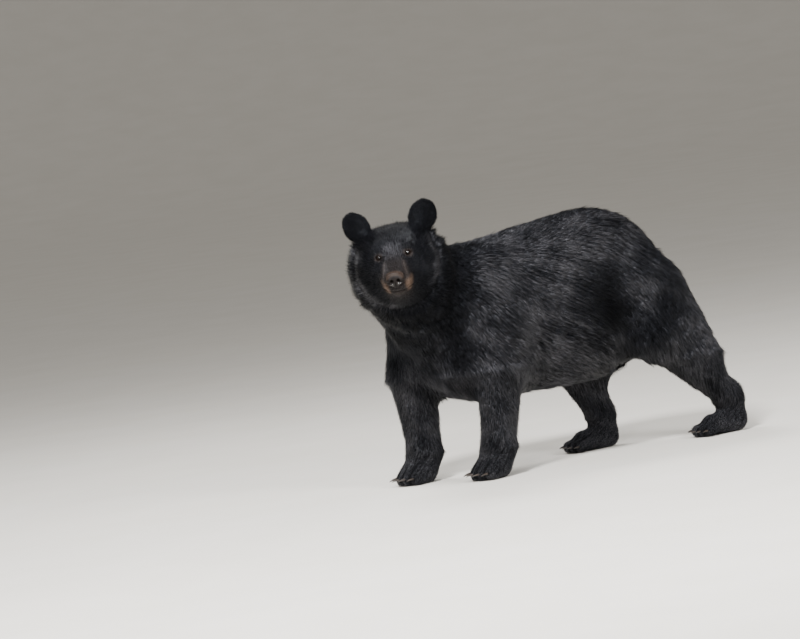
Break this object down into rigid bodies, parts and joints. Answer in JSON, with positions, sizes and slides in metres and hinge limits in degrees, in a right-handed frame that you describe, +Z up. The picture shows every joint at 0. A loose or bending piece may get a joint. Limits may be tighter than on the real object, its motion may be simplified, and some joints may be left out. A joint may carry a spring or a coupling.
{
  "type": "black bear",
  "caption": "Life-size standing black bear, a still figure with its head turned to its left and all four paws on the ground.",
  "frame": {"origin": "on the floor, under the middle of the figure's bounding box", "axes": "+Z up, the body faces -Y, its left side is +X; the head is turned to its left"},
  "size_m": [0.6516, 1.5666, 1.0651],
  "materials": {
    "fur": "thick glossy black coat, brown on the muzzle",
    "nose_skin": "damp pebbled dark skin",
    "eye": "wet dark brown",
    "claw": "smooth dark horn"
  },
  "bodies": {
    "root": {"torso": "fur", "neck": "fur", "head": "fur", "ear_left": "fur", "ear_right": "fur", "eye_left": "eye", "eye_right": "eye", "nose": "nose_skin", "tail": "fur", "foreleg_left": "fur", "forepaw_left": "fur", "thigh_left": "fur", "shank_left": "fur", "hindpaw_left": "fur", "claw_fore_left_1": "claw", "claw_fore_left_2": "claw", "claw_fore_left_3": "claw", "claw_fore_left_4": "claw", "claw_fore_left_5": "claw", "claw_hind_left_1": "claw", "claw_hind_left_2": "claw", "claw_hind_left_3": "claw", "claw_hind_left_4": "claw", "claw_hind_left_5": "claw", "foreleg_right": "fur", "forepaw_right": "fur", "thigh_right": "fur", "shank_right": "fur", "hindpaw_right": "fur", "claw_fore_right_1": "claw", "claw_fore_right_2": "claw", "claw_fore_right_3": "claw", "claw_fore_right_4": "claw", "claw_fore_right_5": "claw", "claw_hind_right_1": "claw", "claw_hind_right_2": "claw", "claw_hind_right_3": "claw", "claw_hind_right_4": "claw", "claw_hind_right_5": "claw"}
  },
  "joints": []
}
